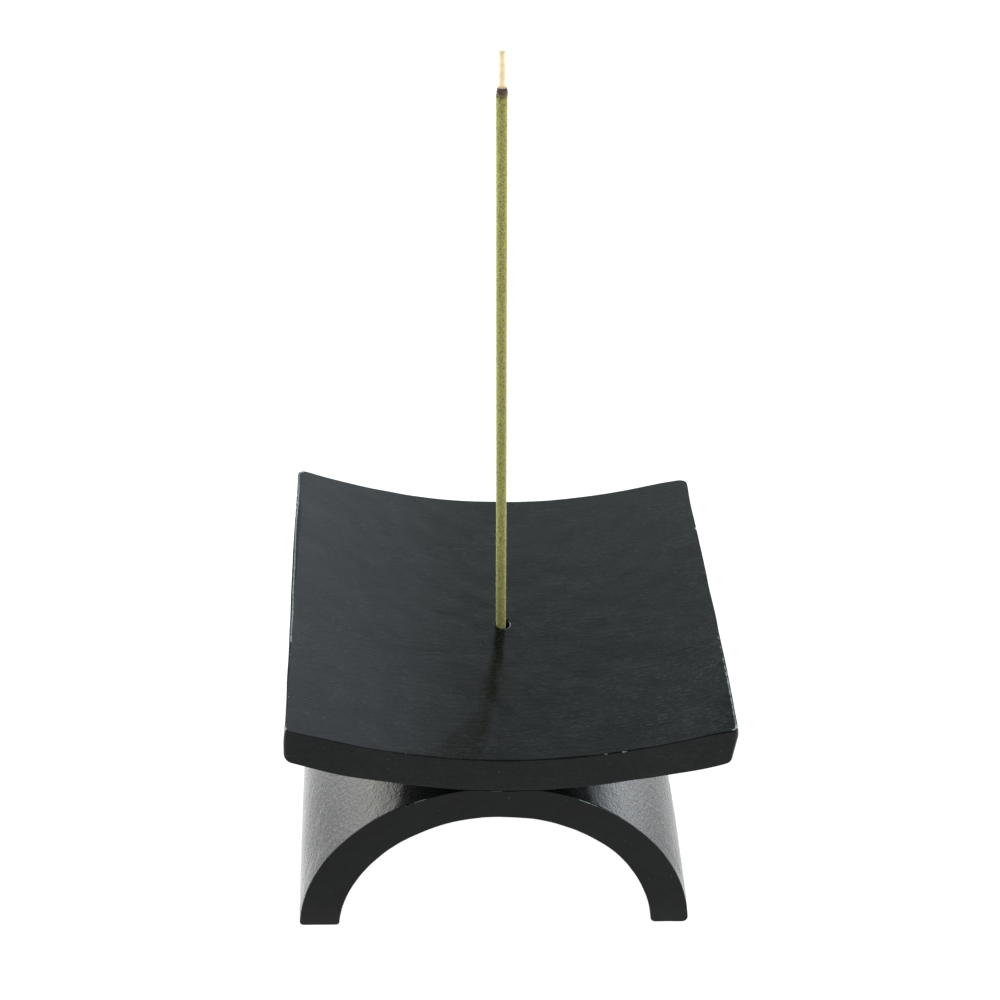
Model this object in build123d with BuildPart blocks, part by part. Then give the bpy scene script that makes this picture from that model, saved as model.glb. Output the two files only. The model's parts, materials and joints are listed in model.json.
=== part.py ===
from build123d import *
import math
import os

# Incense burner: a square slab of black stone with a shallow trough ground along its top, bedded on
# a stone arch, with one incense stick standing in a drilled socket in the middle of the slab.
# Millimetres, +Z up. The front faces -Y and +X is on the right, seen from the front. The origin is
# on the ground, under the centre of the dish's outline.

# Dish
dish_width = 100.0  # between its upper side edges
side_flare = 0.4  # the left and right sides lean out this far towards their lower edges
dish_depth = 101.0  # along its left edge
back_skew = 2.5  # the back edge was sawn askew: the right edge is this much shallower
dish_thickness = 9.3
trough_radius = 140.0  # the trough is a cylinder's inside, with its axis along Y
trough_height = 51.7  # the trough's lowest line above the ground
upright_corner_radius = 1.5
dish_edge_radius = 0.4

# Arch stand, an arc of a thick tube lying along Y
arch_outer_radius = 45.9
arch_wall = 8.8
arch_centre_drop = 2.8  # the tube's axis lies below ground, so it is a little less than half a tube
arch_offset = -1.8  # set by eye, a little to the left of the dish's centre
arch_depth = 99.2
arch_setback = 0.2  # its front behind the dish's front
foot_outer_radius = 1.4
foot_inner_radius = 0.7
arch_edge_radius = 0.4

# Bond between the dish's underside and the seat ground into the arch's crown
bond_thickness = 0.2
bond_width = 15.0
bond_end_gap = 0.6  # the adhesive stops short of the front and back faces

# Socket drilled into the trough
socket_x = 0.3
socket_y = -1.9
socket_depth = 8.0  # to the tip of the drill point
socket_radius = 1.8
socket_rim_radius = 2.05  # the rim is eased with a small countersink
drill_point_angle = 118.0

# Incense stick, which leans in its loose socket
stick_radius = 1.2
stick_lean = 2.06  # degrees towards -X
foot_gap = 0.9  # the stick's foot above the tip of the drill point, resting on the cone
paste_length = 144.3  # unburnt incense, from the foot
char_length = 1.75
char_top_radius = 1.0
ash_length = 7.8
ash_base_radius = 0.95
ash_radius = 0.74
ash_neck_length = 1.1

trough_axis_height = trough_height + trough_radius
underside_radius = trough_radius + dish_thickness
seat_radius = underside_radius + bond_thickness
dish_front = -dish_depth / 2
dish_back = dish_depth / 2
arch_front = dish_front + arch_setback


def trough_arc_height(radius, x):
    """Height at x of the arc of that radius about the trough's axis."""
    return trough_axis_height - math.sqrt(radius**2 - x**2)


def trough_arc_points(radius, x_from, x_to):
    """Start, middle and end of the arc of that radius about the trough's axis."""
    middle = (x_from + x_to) / 2
    return [(x, trough_arc_height(radius, x)) for x in (x_from, middle, x_to)]


# Dish: the curved slab's section drawn from the front, trimmed to its outline seen from above
half_width = dish_width / 2
with BuildPart() as dish:
    with BuildSketch(Plane.XZ) as slab_section:
        with BuildLine():
            trough_line = ThreePointArc(*trough_arc_points(trough_radius, -half_width, half_width))
            lower_x = half_width + side_flare
            underside_line = ThreePointArc(*trough_arc_points(underside_radius, -lower_x, lower_x))
            Line(trough_line @ 0, underside_line @ 0)
            Line(trough_line @ 1, underside_line @ 1)
        make_face()
    extrude(amount=dish_depth, both=True)
    with BuildSketch(Plane.XY) as slab_outline:
        with BuildLine():
            trim_x = half_width + 5
            trim_skew = back_skew * 5 / dish_width
            Polyline(
                (-trim_x, dish_front),
                (trim_x, dish_front),
                (trim_x, dish_back - back_skew - trim_skew),
                (-trim_x, dish_back + trim_skew),
                close=True,
            )
        make_face()
    extrude(amount=trough_axis_height, mode=Mode.INTERSECT)
    side_faces = dish.faces().filter_by(GeomType.PLANE).sort_by(Axis.X)
    upright_edges = side_faces[0].edges() + side_faces[-1].edges()
    fillet(upright_edges.filter_by(Axis.Y, reverse=True), radius=upright_corner_radius)
    trough_and_underside = dish.faces().filter_by(GeomType.CYLINDER).sort_by(Face.area)[-2:]
    fillet(trough_and_underside.edges(), radius=dish_edge_radius)

    with BuildSketch(Plane.XZ.offset(-socket_y)) as socket_half:
        with BuildLine():
            socket_tip = trough_height - socket_depth
            cone_height = socket_radius / math.tan(math.radians(drill_point_angle / 2))
            rim_drop = socket_rim_radius - socket_radius
            Polyline(
                (socket_x, socket_tip),
                (socket_x + socket_radius, socket_tip + cone_height),
                (socket_x + socket_radius, trough_height - rim_drop),
                (socket_x + socket_rim_radius, trough_height),
                (socket_x + socket_rim_radius, trough_height + 1),
                (socket_x, trough_height + 1),
                close=True,
            )
        make_face()
    socket_axis = Axis((socket_x, socket_y, 0), (0, 0, 1))
    revolve(axis=socket_axis, mode=Mode.SUBTRACT)

# Arch stand: a thick tube's arc standing on two feet, its crown ground to the dish's underside
with BuildPart() as arch_stand:
    with BuildSketch(Plane.XZ.offset(-arch_front)) as arch_section:
        with Locations((arch_offset, -arch_centre_drop)):
            Circle(arch_outer_radius)
            Circle(arch_outer_radius - arch_wall, mode=Mode.SUBTRACT)
        with Locations((arch_offset, -arch_outer_radius)):
            Rectangle(4 * arch_outer_radius, 2 * arch_outer_radius, mode=Mode.SUBTRACT)
        foot_corners = arch_section.vertices().group_by(Axis.Y)[0].sort_by(Axis.X)
        fillet([foot_corners[0], foot_corners[3]], radius=foot_outer_radius)
        inner_corners = arch_section.vertices().group_by(Axis.Y)[0].sort_by(Axis.X)
        fillet(inner_corners[1:3], radius=foot_inner_radius)
    extrude(amount=-arch_depth)
    end_faces = arch_stand.faces().filter_by(Axis.Y)
    fillet(end_faces.edges(), radius=arch_edge_radius)

    with BuildSketch(Plane.XZ) as seat_section:
        with BuildLine():
            seat_line = ThreePointArc(*trough_arc_points(seat_radius, -half_width, half_width))
            Line(seat_line @ 0, seat_line @ 1)
        make_face()
    extrude(amount=dish_depth, both=True, mode=Mode.SUBTRACT)

# Adhesive bond: a thin curved layer that fills the seat
with BuildPart() as adhesive_bond:
    with BuildSketch(Plane.XZ.offset(-arch_front - bond_end_gap)) as bond_section:
        with BuildLine():
            bond_middle = arch_offset * (1 - arch_outer_radius / (trough_axis_height + arch_centre_drop))
            bond_left = bond_middle - bond_width / 2
            bond_right = bond_middle + bond_width / 2
            bond_top = ThreePointArc(*trough_arc_points(underside_radius, bond_left, bond_right))
            bond_base = ThreePointArc(*trough_arc_points(seat_radius, bond_left, bond_right))
            Line(bond_top @ 0, bond_base @ 0)
            Line(bond_top @ 1, bond_base @ 1)
        make_face()
    extrude(amount=-(arch_depth - 2 * bond_end_gap))

# Incense stick, char ring and ash column stand one on another along the leaning axis
lean = math.radians(stick_lean)
stick_direction = Vector(-math.sin(lean), 0, math.cos(lean))
stick_foot = Vector(socket_x, socket_y, socket_tip + foot_gap)
stick_axis = Axis(stick_foot, stick_direction)


def across_stick(distance):
    """Plane across the stick at that distance from its foot."""
    origin = stick_foot + stick_direction * distance
    return Plane(origin=origin, x_dir=(math.cos(lean), 0, math.sin(lean)), z_dir=stick_direction)


def along_stick(distance):
    """Plane that holds the stick's axis as its own Y, from that distance from the foot."""
    origin = stick_foot + stick_direction * distance
    return Plane(origin=origin, x_dir=(math.cos(lean), 0, math.sin(lean)), z_dir=(0, -1, 0))


with BuildPart() as incense_stick:
    with BuildSketch(across_stick(0)):
        Circle(stick_radius)
    extrude(amount=paste_length)

with BuildPart() as char_ring:
    with BuildSketch(along_stick(paste_length)):
        with BuildLine():
            Polyline(
                (0, 0),
                (stick_radius, 0),
                (char_top_radius, char_length),
                (0, char_length),
                close=True,
            )
        make_face()
    revolve(axis=stick_axis)

with BuildPart() as ash_column:
    with BuildSketch(along_stick(paste_length + char_length)):
        with BuildLine():
            Polyline(
                (0, 0),
                (ash_base_radius, 0),
                (ash_radius, ash_neck_length),
                (ash_radius, ash_length),
                (0, ash_length),
                close=True,
            )
        make_face()
    revolve(axis=stick_axis)

dish.part.label = "dish"
arch_stand.part.label = "arch_stand"
adhesive_bond.part.label = "adhesive_bond"
incense_stick.part.label = "incense_stick"
char_ring.part.label = "char_ring"
ash_column.part.label = "ash_column"

os.makedirs("parts", exist_ok=True)
for piece in (dish, arch_stand, adhesive_bond, incense_stick, char_ring, ash_column):
    export_step(piece.part, f"parts/{piece.part.label}.step")
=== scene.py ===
import json
from math import radians

import bmesh
import bpy
import numpy as np
from bpy.props import FloatProperty, FloatVectorProperty, IntProperty, PointerProperty
from mathutils import Matrix, Vector


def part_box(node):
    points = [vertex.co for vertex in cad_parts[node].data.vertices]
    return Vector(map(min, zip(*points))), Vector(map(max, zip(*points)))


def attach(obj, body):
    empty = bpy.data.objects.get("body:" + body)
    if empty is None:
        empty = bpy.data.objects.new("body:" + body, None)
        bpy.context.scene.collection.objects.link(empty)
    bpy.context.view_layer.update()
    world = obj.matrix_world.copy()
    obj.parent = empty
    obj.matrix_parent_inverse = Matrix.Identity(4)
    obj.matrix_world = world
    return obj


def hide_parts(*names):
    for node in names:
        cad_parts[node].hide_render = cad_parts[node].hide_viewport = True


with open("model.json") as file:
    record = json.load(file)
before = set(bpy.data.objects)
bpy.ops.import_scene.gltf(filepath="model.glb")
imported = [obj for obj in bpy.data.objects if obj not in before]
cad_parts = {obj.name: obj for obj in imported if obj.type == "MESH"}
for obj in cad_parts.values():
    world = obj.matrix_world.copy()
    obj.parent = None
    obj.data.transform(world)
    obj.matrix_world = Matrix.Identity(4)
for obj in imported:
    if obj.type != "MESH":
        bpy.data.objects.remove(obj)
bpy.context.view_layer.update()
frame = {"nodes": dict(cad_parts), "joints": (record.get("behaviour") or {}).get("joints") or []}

bl_info = {
    "name": "Stone incense burner",
    "version": (1, 0, 0),
    "blender": (4, 5, 0),
    "location": "3D View > Sidebar > Incense",
    "description": "Builds a troughed stone dish on a stone arch, with a burning incense stick in its socket",
    "category": "Add Mesh",
}

MM = 0.001
MERGE_DISTANCE = 0.0001 * MM
MOST_TRIANGLES = 200_000


# ---------- Settings ----------


def length(name, description, default):
    """A distance in metres that the user can change."""
    return FloatProperty(
        name=name, description=description, default=default, min=0.0, unit="LENGTH", subtype="DISTANCE"
    )


def share(name, description, default):
    """A share from 0 to 1 that the user can change."""
    return FloatProperty(
        name=name, description=description, default=default, min=0.0, max=1.0, subtype="FACTOR"
    )


def angle_setting(name, description, degrees):
    """An angle that the user can change, given in degrees and kept in radians."""
    return FloatProperty(name=name, description=description, default=radians(degrees), unit="ROTATION")


def colour(name, description, default):
    """A linear colour that the user can change."""
    return FloatVectorProperty(
        name=name, description=description, default=default, size=3, min=0.0, max=1.0, subtype="COLOR"
    )


class StoneSettings(bpy.types.PropertyGroup):
    """Sizes and colours of the two carved stones."""

    slab_thickness: length("Slab thickness", "Thickness of the dish, square to its curve", 9.3 * MM)
    dish_width: length("Dish width", "Distance between the dish's upper side edges", 100.0 * MM)
    trough_radius: length("Trough radius", "Radius of the curve ground along the dish's top", 140.0 * MM)
    back_skew: length("Back skew", "How much shallower the dish is on its right side", 2.5 * MM)
    edge_radius: length("Edge radius", "Rounding of the long edges of both stones", 0.32 * MM)
    arch_outer_radius: length("Arch radius", "Outer radius of the arch", 45.9 * MM)
    arch_wall: length("Arch wall", "Thickness of the arch's ring", 8.8 * MM)
    arch_centre_drop: length("Arch centre drop", "Depth of the arch's centre below the ground", 2.8 * MM)
    bond_thickness: length("Bond thickness", "Adhesive between the dish and the arch", 0.2 * MM)
    socket_radius: length("Socket radius", "Radius of the drilled socket", 1.8 * MM)
    socket_rim_radius: length("Socket rim", "Radius of the eased rim of the socket", 2.05 * MM)
    socket_depth: length("Socket depth", "Depth of the socket to the tip of its cone", 8.0 * MM)
    side_flare: length("Side flare", "How far the dish's sides lean out towards their lower edges", 0.4 * MM)
    wear: share("Wear", "How much bare stone shows along the edges", 0.5)
    black: colour("Black stone", "Colour of the blackened surface", (0.0018, 0.0020, 0.0021))
    bare: colour("Bare stone", "Colour of the soft stone under the blackened surface", (0.30, 0.34, 0.33))


class IncenseSettings(bpy.types.PropertyGroup):
    """Colours and texture of the incense stick."""

    grain_height: length("Grain height", "How far the pressed powder's grains stand out", 0.022 * MM)
    paste: colour("Incense", "Colour of the pressed incense", (0.265, 0.253, 0.068))
    fleck: colour("Flecks", "Colour of the dark flecks in the incense", (0.075, 0.07, 0.02))
    char: colour("Char", "Colour of the burnt ring", (0.05, 0.032, 0.022))
    ash: colour("Ash", "Colour of the ash", (0.95, 0.76, 0.47))


class StageSettings(bpy.types.PropertyGroup):
    """Floor, light and camera."""

    floor: colour("Floor", "Colour of the floor", (0.24, 0.24, 0.24))
    surround: FloatProperty(
        name="Surround", description="Brightness of the white studio around the object", default=1.0, min=0.0
    )
    elevation: angle_setting("Elevation", "How far the camera looks down", 34.926)
    azimuth: angle_setting("Azimuth", "How far the camera stands to the right of the front", -4.238)
    roll: angle_setting("Roll", "Turn of the camera about its own line of sight", 2.604)
    distance: length("Distance", "From the camera to the point that it looks at", 491.45 * MM)
    lens: FloatProperty(
        name="Lens", description="Focal length on a 36 mm sensor", default=76.344, min=1.0, unit="CAMERA"
    )


SETTINGS = {
    "burner_stone": StoneSettings,
    "burner_incense": IncenseSettings,
    "burner_stage": StageSettings,
}


# ---------- Surfaces ----------


def wave_field(points, wavelength, seed, waves=28):
    """Smooth random field of about -1 to 1 over points: the scaled mean of plane waves of about that
    wavelength, with seeded directions and phases."""
    random = np.random.default_rng(seed)
    directions = random.normal(size=(waves, 3))
    directions /= np.linalg.norm(directions, axis=1, keepdims=True)
    numbers = 2 * np.pi / (wavelength * random.uniform(0.7, 1.5, waves))
    phases = random.uniform(0, 2 * np.pi, waves)
    return np.sin(points @ (directions * numbers[:, None]).T + phases).sum(axis=-1) / np.sqrt(waves)


def roughen(points, height, wavelength, seed):
    """Points moved by a smooth random vector of about that height, one wave field along each axis."""
    shift = np.stack([wave_field(points, wavelength, seed + axis) for axis in range(3)], axis=-1)
    return points + height * shift


def bite(points, bare, centre, radius):
    """A chip: points inside the sphere are pushed out to its wall, whose radius is a little uneven, and
    are marked as bare stone."""
    away = points - centre
    distance = np.linalg.norm(away, axis=-1)
    wall = radius * (1 + 0.05 * wave_field(points, radius * 0.35, 7))
    inside = distance < wall
    points[inside] = centre + away[inside] * (wall / np.maximum(distance, 1e-9))[inside][:, None]
    bare[inside] = 1.0


def rounded_outline(corners, radii, side_points, corner_points):
    """Closed outline of a polygon with rounded corners, and its unit normals into the polygon. Each side is
    a straight run between the points where the corner arcs begin; each corner is an arc about a centre
    that lies one radius inside both its sides. Corners go round anticlockwise."""
    corners = np.asarray(corners, float)
    before = corners - np.roll(corners, 1, axis=0)
    after = np.roll(corners, -1, axis=0) - corners
    before /= np.linalg.norm(before, axis=1, keepdims=True)
    after /= np.linalg.norm(after, axis=1, keepdims=True)
    outline, inward = [], []
    for corner, came, goes, radius in zip(corners, before, after, radii):
        turn = np.arctan2(came[0] * goes[1] - came[1] * goes[0], came @ goes)
        start_normal = np.array([-came[1], came[0]])
        centre = corner - came * radius * np.tan(turn / 2) + start_normal * radius
        angles = np.linspace(0, turn, corner_points)
        spokes = np.stack(
            [
                -start_normal[0] * np.cos(angles) + start_normal[1] * np.sin(angles),
                -start_normal[1] * np.cos(angles) - start_normal[0] * np.sin(angles),
            ],
            axis=1,
        )
        outline.append(centre + radius * spokes)
        inward.append(-spokes)
    points, normals = [], []
    for index in range(len(corners)):
        following = (index + 1) % len(corners)
        steps = np.linspace(0, 1, side_points[index] + 2)[1:-1, None]
        run = outline[index][-1] * (1 - steps) + outline[following][0] * steps
        points += [outline[index], run]
        normals += [inward[index], np.repeat(inward[index][-1:], len(run), axis=0)]
    return np.concatenate(points), np.concatenate(normals)


def eased(count, power=1.0):
    """Numbers from 0 to 1, closer together near 0 where power is above 1."""
    return np.linspace(0, 1, count) ** power


def hump(x, centre, spread):
    """A bell of height 1 about centre."""
    return np.exp(-(((x - centre) / spread) ** 2))


def humps(x, bells):
    """The sum of bells, each given as its height, centre and spread."""
    return sum(height * hump(x, centre, spread) for height, centre, spread in bells)


def closed_mesh(name, rings, fields):
    """A closed mesh from a grid of rings (rings, around, xyz) that runs from one collapsed ring to the other.
    Points that coincide are merged, and normals turned outwards. fields are values for each point."""
    ring_count, around, _ = rings.shape
    index = np.arange(ring_count * around).reshape(ring_count, around)
    following = np.roll(index, -1, axis=1)
    faces = np.stack([index[:-1], following[:-1], following[1:], index[1:]], axis=-1).reshape(-1, 4)
    mesh = bpy.data.meshes.new(name)
    mesh.vertices.add(ring_count * around)
    mesh.vertices.foreach_set("co", rings.reshape(-1).astype(np.float32))
    mesh.loops.add(faces.size)
    mesh.loops.foreach_set("vertex_index", faces.reshape(-1).astype(np.int32))
    mesh.polygons.add(len(faces))
    mesh.polygons.foreach_set("loop_start", np.arange(0, faces.size, 4, dtype=np.int32))
    mesh.update(calc_edges=True)
    for field, values in fields.items():
        layer = mesh.attributes.new(field, "FLOAT", "POINT")
        layer.data.foreach_set("value", values.reshape(-1).astype(np.float32))
    work = bmesh.new()
    work.from_mesh(mesh)
    bmesh.ops.remove_doubles(work, verts=work.verts, dist=MERGE_DISTANCE)
    bmesh.ops.recalc_face_normals(work, faces=work.faces)
    work.to_mesh(mesh)
    work.free()
    mesh.shade_smooth()
    piece = bpy.data.objects.new(name, mesh)
    bpy.context.scene.collection.objects.link(piece)
    return piece


def finish_piece(piece, material, body, slot, *nodes):
    """Gives a new piece its material in a new material slot, parents it to its body, and hides the CAD nodes
    that it stands for. The argument slot is not used.
    """
    piece.data.calc_loop_triangles()
    triangles = len(piece.data.loop_triangles)
    if triangles > MOST_TRIANGLES:
        raise RuntimeError(f"{piece.name} has {triangles} triangles, over {MOST_TRIANGLES}")
    piece.data.materials.append(material)
    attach(piece, body)
    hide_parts(*nodes)


# ---------- Dish ----------


def stick_frame():
    """The stick's foot, its unit direction and its radius, from the packed stick and its lift joint. The
    stick leans in the plane of X and Z, so its box is as deep as the stick is thick."""
    low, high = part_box("incense_stick")
    direction = Vector(frame["joints"][0]["axis"]).normalized()
    radius = (high.y - low.y) / 2
    foot = Vector((high.x - radius * direction.z, (low.y + high.y) / 2, low.z + radius * abs(direction.x)))
    return foot, direction, radius


def trough_axis_height(stone):
    """Height of the axis of the trough's cylinder above the ground."""
    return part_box("dish")[0].z + stone.slab_thickness + stone.trough_radius


def curve_height(stone, radius, x):
    """Height at x of a circle of that radius about the trough's axis."""
    return trough_axis_height(stone) - np.sqrt(radius**2 - x**2)


# Errors of the hand-ground faces: height, centre and spread of bells across the dish, all in mm.
FRONT_TOP_ERRORS = ((-0.24, -8, 18), (0.10, 30, 10), (-0.30, -52, 6), (-1.0, 52, 4.5))
BACK_TOP_LIFT = 0.22
BACK_TOP_ERRORS = ((0.20, -31, 14), (0.13, 30, 15), (-0.45, -52, 3), (-1.1, 52, 6))
CORNER_RELIEF = ((0.45, -52, 3), (1.0, 52, 4.5))
UNDER_ERRORS = ((0.38, 29, 10), (0.22, -27, 8), (-0.40, 46, 6), (-0.12, -38, 6), (0.40, -48, 4.5))
END_TURNS = (1.9, 1.5)  # radius in mm of the turn up to the lower edge, left and right
END_PLACES = (50.4, 49.75)  # how far out in mm that turn ends, left and right

DISH_CORNER_RADII = (0.9, 1.2, 2.3, 2.1)  # mm, anticlockwise from the front left
SIDE_BOWS = (
    # side, -1 for the left, then how far it bulges, where along it and over what length, in mm
    (-1, 0.20, 12, 24),
    (1, 0.28, -22, 36),
    (1, 0.22, 45, 5),
)
RIGHT_SIDE_OUT = 0.25 * MM
RIGHT_SIDE_IN = 0.6 * MM
DRILL_POINT = radians(59)  # between the drill's axis and the flank of its point


def front_to_back(y):
    """A smooth step from 0 at the dish's front to 1 at its back."""
    share_back = np.clip((y + 50 * MM) / (98 * MM), 0, 1)
    return share_back**2 * (3 - 2 * share_back)


def top_error(x, y):
    """How far the hand-ground trough stands above its cylinder: the errors at the front and at the back,
    blended along the dish, and less rubbed down at the corners in the middle of the two sides."""
    across, along = x / MM, y / MM
    front = humps(across, FRONT_TOP_ERRORS)
    back = BACK_TOP_LIFT + humps(across, BACK_TOP_ERRORS)
    share_back = front_to_back(y)
    corners = humps(across, CORNER_RELIEF)
    away_from_ends = 1 - hump(along, -54, 16) - hump(along, 54, 16)
    relief = corners * away_from_ends * 0.8
    return (front * (1 - share_back) + back * share_back + relief) * MM


def under_error(x, y):
    """How far the underside stands above its cylinder: bells across the dish, and at both ends a quarter
    circle that turns up to the lower edge, wider on the left."""
    across = x / MM
    turn = np.where(across < 0, *END_TURNS)
    end = np.where(across < 0, *END_PLACES)
    beyond = np.clip(np.abs(across) - (end - turn), 0, 0.98 * turn)
    return (humps(across, UNDER_ERRORS) + turn - np.sqrt(turn**2 - beyond**2)) * MM


def dish_outline(stone, low, high):
    """The dish's upper edge seen from above, and its unit normals into the dish: a square with rounded
    corners, its back edge out of square, and its sides bowed out by bells along them."""
    half = stone.dish_width / 2
    corners = [(-half, low.y), (half, low.y), (half, high.y - stone.back_skew), (-half, high.y)]
    radii = np.array(DISH_CORNER_RADII) * MM
    outline, inward = rounded_outline(corners, radii, [200, 200, 200, 200], 9)
    x, y = outline[:, 0], outline[:, 1]
    side = np.sign(x)
    bow = sum(out * MM * hump(y, at * MM, over * MM) * (side == which) for which, out, at, over in SIDE_BOWS)
    near_side = np.clip(np.abs(x) / (10 * MM) - 4, 0, 1)
    outline[:, 0] += bow * side * near_side
    return outline, inward


def dish_rings(stone):
    """The dish as one grid. Around is the angle about the socket. The rings rise from the tip of the drill
    point up the cone and the bore, over the countersunk rim, out across the trough to the outline seen
    from above, round the top edge by a quarter circle, down the side, round the lower edge, and across
    the underside to its middle. Heights follow two circles about the trough's axis."""
    low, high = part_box("dish")
    stick_foot, _, _ = stick_frame()
    socket = np.array([stick_foot.x, stick_foot.y])
    outline, inward = dish_outline(stone, low, high)
    spokes = outline - socket
    reach = np.linalg.norm(spokes, axis=1)
    unit = spokes / reach[:, None]

    ground = np.concatenate([outline, np.zeros((len(outline), 1))], axis=1)
    rounding = stone.edge_radius * (1 + 0.35 * wave_field(ground, 14 * MM, 3))
    facing = -inward[:, 0]
    lower_rounding = rounding * (1 - 0.8 * facing**2)
    under_radius = stone.trough_radius + stone.slab_thickness
    bottom = trough_axis_height(stone) - stone.trough_radius
    level = np.ones(len(outline))
    bearing = np.arctan2(unit[:, 1], unit[:, 0])
    # Bare stone on the socket's eased rim, paler towards the front right: partly worn stone, partly a painted
    # highlight on the chamfer.
    rim_wear_and_highlight = 0.35 + 0.65 * hump(bearing, radians(-38), radians(55))
    rings, edge = [], []

    def add(flat, height, closeness):
        rings.append(np.concatenate([flat, height[:, None]], axis=1))
        edge.append(closeness * level)

    def top(flat):
        return curve_height(stone, stone.trough_radius, flat[:, 0]) + top_error(flat[:, 0], flat[:, 1])

    def under(flat):
        return curve_height(stone, under_radius, flat[:, 0]) + under_error(flat[:, 0], flat[:, 1])

    def side_shift(share_down):
        """How far the sides stand out at that share of the way down: both lean out, and the right one
        turns in again towards its foot."""
        out = stone.side_flare * np.sin(min(1.5 * share_down, 1) * np.pi / 2)
        turned = RIGHT_SIDE_OUT * np.sin(min(4 * share_down, 1) * np.pi / 2)
        turned = turned - RIGHT_SIDE_IN * max(share_down - 0.3, 0) / 0.7
        shift = facing * np.where(outline[:, 0] > 0, turned, out)
        return np.stack([shift, 0 * shift], axis=1)

    cone = stone.socket_radius / np.tan(DRILL_POINT)
    rim_drop = stone.socket_rim_radius - stone.socket_radius
    rim_middle = 0.5 * (stone.socket_radius + stone.socket_rim_radius)
    for radius, height in (
        (0.0, bottom - stone.socket_depth),
        (0.5 * stone.socket_radius, bottom - stone.socket_depth + 0.5 * cone),
        (stone.socket_radius, bottom - stone.socket_depth + cone),
        *((stone.socket_radius, bottom - drop * MM) for drop in (5.5, 4, 3, 2, 1.2, 0.7)),
        (stone.socket_radius, bottom - rim_drop),
        (rim_middle, bottom - 0.45 * rim_drop),
    ):
        on_rim = height > bottom - 1.5 * rim_drop
        add(socket + unit * radius, height * level, on_rim * rim_wear_and_highlight)
    add(socket + unit * stone.socket_rim_radius, bottom * level, rim_wear_and_highlight)
    across_trough = reach - rounding - stone.socket_rim_radius
    for step in (0.003, *(0.01 + 0.955 * eased(36, 1.4)), 0.975, 0.984, 0.989, 0.992, 0.995, 0.9975):
        flat = socket + unit * (stone.socket_rim_radius + across_trough * step)[:, None]
        add(flat, top(flat), hump(1 - step, 0.0035, 0.006))
    flat = outline + inward * rounding[:, None]
    add(flat, top(flat), hump(0, 0.0035, 0.006))
    for angle in np.linspace(0, np.pi / 2, 8)[1:]:
        flat = outline + inward * (rounding * (1 - np.sin(angle)))[:, None]
        add(flat, top(flat) - rounding * (1 - np.cos(angle)), 0.15 + 0.4 * np.cos(angle))
    side_top = top(outline) - rounding
    foot = outline + side_shift(1.0)
    side_low = under(foot) + lower_rounding
    for step in np.linspace(0, 1, 18)[1:]:
        nearness = 0.25 * np.exp(-min(step, 1 - step) * 30)
        add(outline + side_shift(step), side_top * (1 - step) + side_low * step, nearness)
    for angle in np.linspace(np.pi / 2, 0, 8)[1:]:
        flat = foot + inward * (lower_rounding * (1 - np.sin(angle)))[:, None]
        add(flat, under(flat) + lower_rounding * (1 - np.cos(angle)), 0.6)
    rim = foot + inward * lower_rounding[:, None]
    near_edge = (0.001, 0.003, 0.006, 0.010, 0.015, 0.021, 0.028, 0.036, 0.045)
    for step in (*near_edge, *(0.055 + 0.945 * eased(18, 1.1))):
        flat = rim * (1 - step)
        add(flat, under(flat), np.exp(-step * 150))
    return np.array(rings), np.array(edge)


UNDER_RINGS = 24  # the last rings of the dish's grid, which make its sawn underside
DISH_WAVES = ((0.035, 26, 11), (0.012, 5, 12))  # height and length in mm of waves in its faces, and a seed
DISH_CHIPS = (
    # x and y as shares of the half width and half depth, 1 on an edge, then radius and depth in mm
    (-1.0, 0.72, 1.2, 0.62),
    (-1.0, 0.67, 1.0, 0.50),
    (-1.0, 0.60, 0.9, 0.42),
    (-1.0, 0.78, 0.8, 0.42),
    (-1.0, -0.985, 0.8, 0.45),
    (1.0, -0.97, 0.9, 0.45),
    (1.0, -0.62, 0.7, 0.35),
    (0.42, -1.0, 0.5, 0.16),
    (0.50, -1.0, 0.7, 0.22),
    (0.24, -1.0, 0.5, 0.14),
    (1.0, 0.5, 0.8, 0.35),
)


def dish_haze(points, low, high):
    """How dusty the slab is: a little all over, more towards the front right of the trough and along its
    right edge, less on the front face."""
    x, y = points[..., 0] / MM, points[..., 1] / MM
    corner = np.clip((x + 5) / 30, 0, 1) * np.clip((5 - y) / 30, 0, 1)
    edge = np.exp(-np.clip(high.x / MM - x, 0, None) / 3.0)
    flat = np.where(y > low.y / MM + 0.5, 1.0, 0.45)
    return flat * (0.42 + 0.25 * corner + 0.4 * edge)


def dish_wear(points, low, high):
    """How rubbed each edge is: most on the left, above all near its back; on the right only near the front;
    little along the front and the back."""
    x, y = points[..., 0], points[..., 1]
    left = (x < low.x + 1.8 * MM) * (1.15 + 0.35 * hump(y, 36 * MM, 8 * MM) - 0.5 * (y < -20 * MM))
    right = (x > high.x - 1.8 * MM) * (0.48 + 0.60 * np.clip((-10 * MM - y) / (25 * MM), 0, 1))
    front = (y < low.y + 1.2 * MM) * (0.40 + 0.10 * (x > 12 * MM))
    back = (y > high.y - 3.6 * MM) * 0.30
    rim = (np.hypot(x, y) < 5 * MM) * 1.5
    return np.maximum.reduce([left, right, front, back, rim])


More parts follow.
